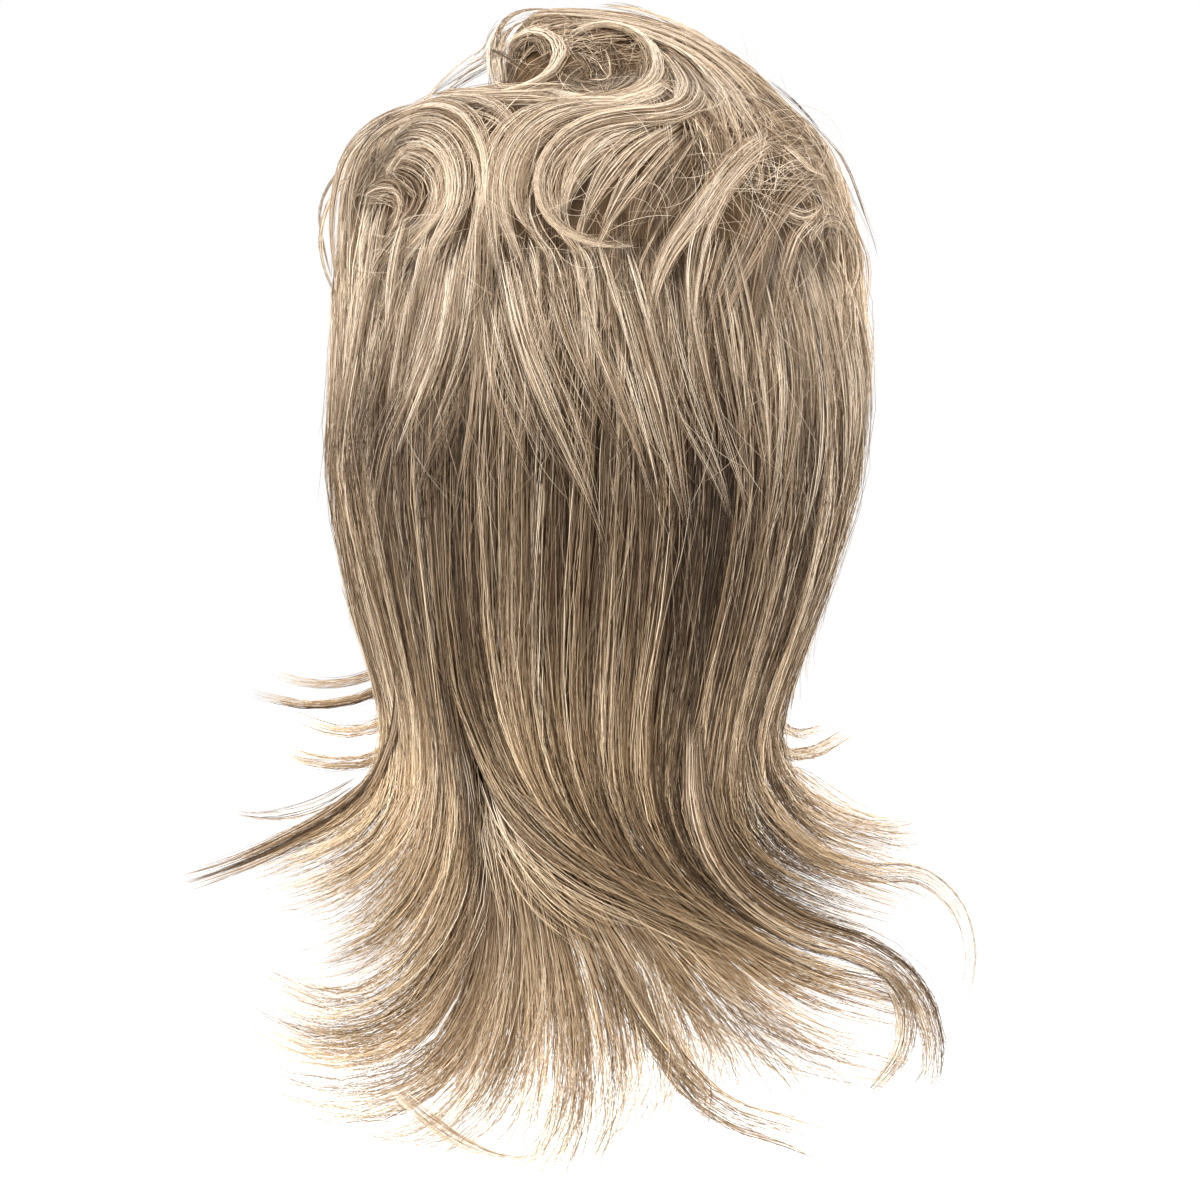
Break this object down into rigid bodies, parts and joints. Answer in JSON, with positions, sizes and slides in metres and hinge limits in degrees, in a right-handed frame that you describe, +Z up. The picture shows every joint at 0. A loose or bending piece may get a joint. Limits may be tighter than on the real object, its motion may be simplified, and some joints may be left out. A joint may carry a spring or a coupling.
{
  "type": "layered mullet wig",
  "caption": "Blond layered mullet wig: hollow cap, short curled crown with a quiff, long straight back hair and flared wispy ends.",
  "frame": {"origin": "top of the head inside the cap, where the wig rests on its wearer", "axes": "+Z up, the wearer's face looks along -Y and the wearer's left is +X"},
  "size_m": [0.3036, 0.2523, 0.4476],
  "materials": {
    "cap_net": "matte stretch net",
    "crown_fibre": "soft sheen blond fibre",
    "long_fibre": "soft sheen ash blond fibre",
    "tip_fibre": "soft sheen blond fibre",
    "end_fibre": "soft sheen blond fibre, thinned ends"
  },
  "bodies": {
    "root": {"cap_top": "cap_net", "cap_back": "cap_net", "cap_left": "cap_net", "cap_right": "cap_net", "cap_front": "cap_net", "crown_hair": "crown_fibre", "back_hair": "long_fibre", "side_left": "long_fibre", "side_right": "long_fibre", "fringe": "crown_fibre", "quiff": "crown_fibre", "quiff_left_curl": "crown_fibre", "quiff_ring_curl": "crown_fibre", "quiff_sweep": "crown_fibre", "quiff_under_sweep": "crown_fibre", "s_lock": "crown_fibre", "right_shoulder_lock": "crown_fibre", "left_swirl": "crown_fibre", "left_swirl_inner": "crown_fibre", "left_edge_lock": "crown_fibre", "centre_swirl": "crown_fibre", "centre_swirl_inner": "crown_fibre", "right_lock_inner": "crown_fibre", "right_lock_outer": "crown_fibre", "right_edge_curl": "crown_fibre", "right_edge_lock": "crown_fibre", "left_tip_lock": "tip_fibre", "centre_left_tip_lock": "tip_fibre", "centre_tip_lock": "tip_fibre", "right_tip_lock": "tip_fibre", "right_edge_tip_lock": "tip_fibre", "left_flick": "end_fibre", "left_flick_branch": "end_fibre", "left_sweep_upper": "end_fibre", "left_sweep_middle": "end_fibre", "left_sweep_lower": "end_fibre", "left_sweep_lowest": "end_fibre", "bottom_left_lock": "end_fibre", "bottom_centre_lock": "end_fibre", "bottom_curl": "end_fibre", "cross_sweep": "end_fibre", "right_sweep": "end_fibre", "right_loop": "end_fibre", "right_loop_branch": "end_fibre", "right_outer_loop": "end_fibre", "right_flick": "end_fibre", "low_right_sweep": "end_fibre", "bottom_right_sweep": "end_fibre", "left_front_flick_top": "end_fibre", "left_front_flick_upper": "end_fibre", "left_front_flick_lower": "end_fibre", "left_front_flick_low": "end_fibre", "right_front_flick_upper": "end_fibre", "right_front_flick_lower": "end_fibre"}
  },
  "joints": []
}
